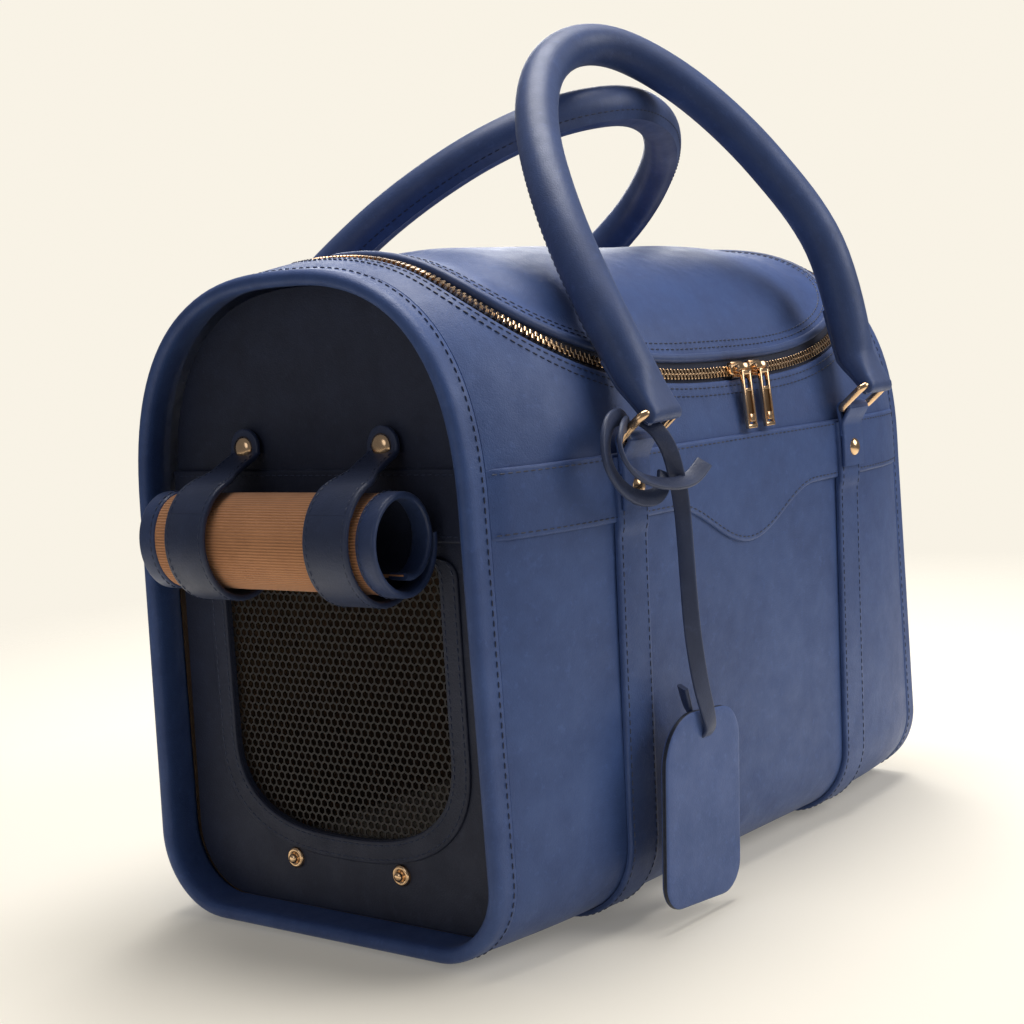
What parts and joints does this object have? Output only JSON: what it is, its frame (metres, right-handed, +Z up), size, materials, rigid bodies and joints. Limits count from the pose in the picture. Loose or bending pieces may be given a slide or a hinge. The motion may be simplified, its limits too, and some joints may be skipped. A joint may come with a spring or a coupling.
{
  "type": "pet carrier bag",
  "caption": "Arched soft leather pet carrier with a zipped top lid, mesh end windows under rolled flaps, rolled handles on metal rings and a hanging tag.",
  "frame": {"origin": "middle of the base on the ground", "axes": "+X along the bag, towards the far end; -Y towards the side with the zip sliders; +Z up"},
  "size_m": [0.5154, 0.316, 0.4768],
  "materials": {
    "leather": "matt nubuck-like leather, soft mottling",
    "end_leather": "matt leather, end panels",
    "thong_leather": "smooth cut leather",
    "flap_canvas": "ribbed canvas",
    "lining_cloth": "woven lining",
    "mat_cloth": "quilted cloth",
    "board": "plain board",
    "window_mesh": "open net",
    "zip_tape": "herringbone tape",
    "gold_metal": "polished, warm gold"
  },
  "bodies": {
    "bag": {"front_panel": "leather", "back_panel": "leather", "base_panel": "leather", "top_surround": "leather", "lining": "lining_cloth", "base_board": "board", "cushion_mat": "mat_cloth", "end_panel_near": "end_leather", "end_panel_far": "end_leather", "mesh_window_near": "window_mesh", "mesh_window_far": "window_mesh", "window_facing_near": "end_leather", "window_facing_far": "end_leather", "rim_near": "leather", "rim_far": "leather", "yoke_front": "leather", "yoke_back": "leather", "end_band_near": "end_leather", "end_band_far": "end_leather", "body_strap_near": "leather", "body_strap_far": "leather", "strap_rivets": "gold_metal", "snap_studs": "gold_metal", "zip_tape_body": "zip_tape", "zip_teeth_body": "gold_metal", "flap_roll_near": "flap_canvas", "flap_roll_far": "flap_canvas", "flap_binding_near": "leather", "flap_binding_far": "leather", "flap_strap_near_front": "leather", "flap_strap_near_back": "leather", "flap_strap_far_front": "leather", "flap_strap_far_back": "leather"},
    "lid": {"lid_panel": "leather", "lid_edge": "leather", "lid_lining": "lining_cloth", "zip_tape_lid": "zip_tape", "zip_teeth_lid": "gold_metal"},
    "slider_left": {"slider_left": "gold_metal"},
    "pull_left": {"pull_left": "gold_metal"},
    "slider_right": {"slider_right": "gold_metal"},
    "pull_right": {"pull_right": "gold_metal"},
    "ring_near_front": {"ring_near_front": "gold_metal"},
    "ring_near_back": {"ring_near_back": "gold_metal"},
    "ring_far_front": {"ring_far_front": "gold_metal"},
    "ring_far_back": {"ring_far_back": "gold_metal"},
    "handle_front": {"handle_front": "leather", "handle_tabs_front": "leather"},
    "handle_back": {"handle_back": "leather", "handle_tabs_back": "leather"},
    "flap_tip_near_front": {"flap_tip_near_front": "leather", "snap_cap_near_front": "gold_metal"},
    "flap_tip_near_back": {"flap_tip_near_back": "leather", "snap_cap_near_back": "gold_metal"},
    "flap_tip_far_front": {"flap_tip_far_front": "leather", "snap_cap_far_front": "gold_metal"},
    "flap_tip_far_back": {"flap_tip_far_back": "leather", "snap_cap_far_back": "gold_metal"},
    "tag_strap": {"tag_strap": "thong_leather"},
    "tag_card": {"tag_card": "leather"}
  },
  "joints": [
    {"name": "lid_hinge", "type": "hinge", "parent": "bag", "child": "lid", "pos_m": [0, 0.0649, 0.3411], "axis": [-1, 0, 0], "range_deg": [0, 60]},
    {"name": "ring_near_front_hinge", "type": "hinge", "parent": "bag", "child": "ring_near_front", "pos_m": [-0.114, -0.137, 0.246], "axis": [1, 0, 0], "range_deg": [0, 36]},
    {"name": "ring_near_back_hinge", "type": "hinge", "parent": "bag", "child": "ring_near_back", "pos_m": [-0.114, 0.137, 0.246], "axis": [-1, 0, 0], "range_deg": [0, 36]},
    {"name": "ring_far_front_hinge", "type": "hinge", "parent": "bag", "child": "ring_far_front", "pos_m": [0.114, -0.137, 0.246], "axis": [1, 0, 0], "range_deg": [0, 36]},
    {"name": "ring_far_back_hinge", "type": "hinge", "parent": "bag", "child": "ring_far_back", "pos_m": [0.114, 0.137, 0.246], "axis": [-1, 0, 0], "range_deg": [0, 36]},
    {"name": "handle_front_hinge", "type": "hinge", "parent": "ring_near_front", "child": "handle_front", "pos_m": [-0.114, -0.15309, 0.2595], "axis": [1, 0, 0], "range_deg": [0, 120]},
    {"name": "handle_back_hinge", "type": "hinge", "parent": "ring_near_back", "child": "handle_back", "pos_m": [-0.114, 0.15309, 0.2595], "axis": [-1, 0, 0], "range_deg": [0, 78]},
    {"name": "slider_left_slide", "type": "slide", "parent": "lid", "child": "slider_left", "axis": [1, 0, 0], "range_m": [-0.04, 0]},
    {"name": "slider_right_slide", "type": "slide", "parent": "lid", "child": "slider_right", "axis": [1, 0, 0], "range_m": [0, 0.03]},
    {"name": "pull_left_hinge", "type": "hinge", "parent": "slider_left", "child": "pull_left", "pos_m": [0.0035, -0.13125, 0.27273], "axis": [-1, 0, 0], "range_deg": [0, 110]},
    {"name": "pull_right_hinge", "type": "hinge", "parent": "slider_right", "child": "pull_right", "pos_m": [0.0225, -0.13125, 0.27273], "axis": [-1, 0, 0], "range_deg": [0, 110]},
    {"name": "flap_tip_near_front_hinge", "type": "hinge", "parent": "bag", "child": "flap_tip_near_front", "pos_m": [-0.23886, -0.048, 0.23489], "axis": [0, -1, 0], "range_deg": [0, 100]},
    {"name": "flap_tip_near_back_hinge", "type": "hinge", "parent": "bag", "child": "flap_tip_near_back", "pos_m": [-0.23886, 0.048, 0.23489], "axis": [0, -1, 0], "range_deg": [0, 100]},
    {"name": "flap_tip_far_front_hinge", "type": "hinge", "parent": "bag", "child": "flap_tip_far_front", "pos_m": [0.23886, -0.048, 0.23489], "axis": [0, 1, 0], "range_deg": [0, 100]},
    {"name": "flap_tip_far_back_hinge", "type": "hinge", "parent": "bag", "child": "flap_tip_far_back", "pos_m": [0.23886, 0.048, 0.23489], "axis": [0, 1, 0], "range_deg": [0, 100]},
    {"name": "tag_hang", "type": "hinge", "parent": "ring_near_front", "child": "tag_strap", "pos_m": [-0.1287, -0.14504, 0.25275], "axis": [1, 0, 0], "range_deg": [-36, 0]},
    {"name": "tag_card_swing", "type": "hinge", "parent": "tag_strap", "child": "tag_card", "pos_m": [-0.086, -0.149, 0.094], "axis": [1, 0, 0], "range_deg": [-10, 10]}
  ],
  "couplings": [
    {"joint": "ring_far_front_hinge", "follows": "ring_near_front_hinge", "ratio": 1},
    {"joint": "ring_far_back_hinge", "follows": "ring_near_back_hinge", "ratio": 1},
    {"joint": "tag_hang", "follows": "ring_near_front_hinge", "ratio": -1},
    {"joint": "handle_front_hinge", "follows": "lid_hinge", "ratio": 2},
    {"joint": "handle_back_hinge", "follows": "lid_hinge", "ratio": 1.3}
  ]
}
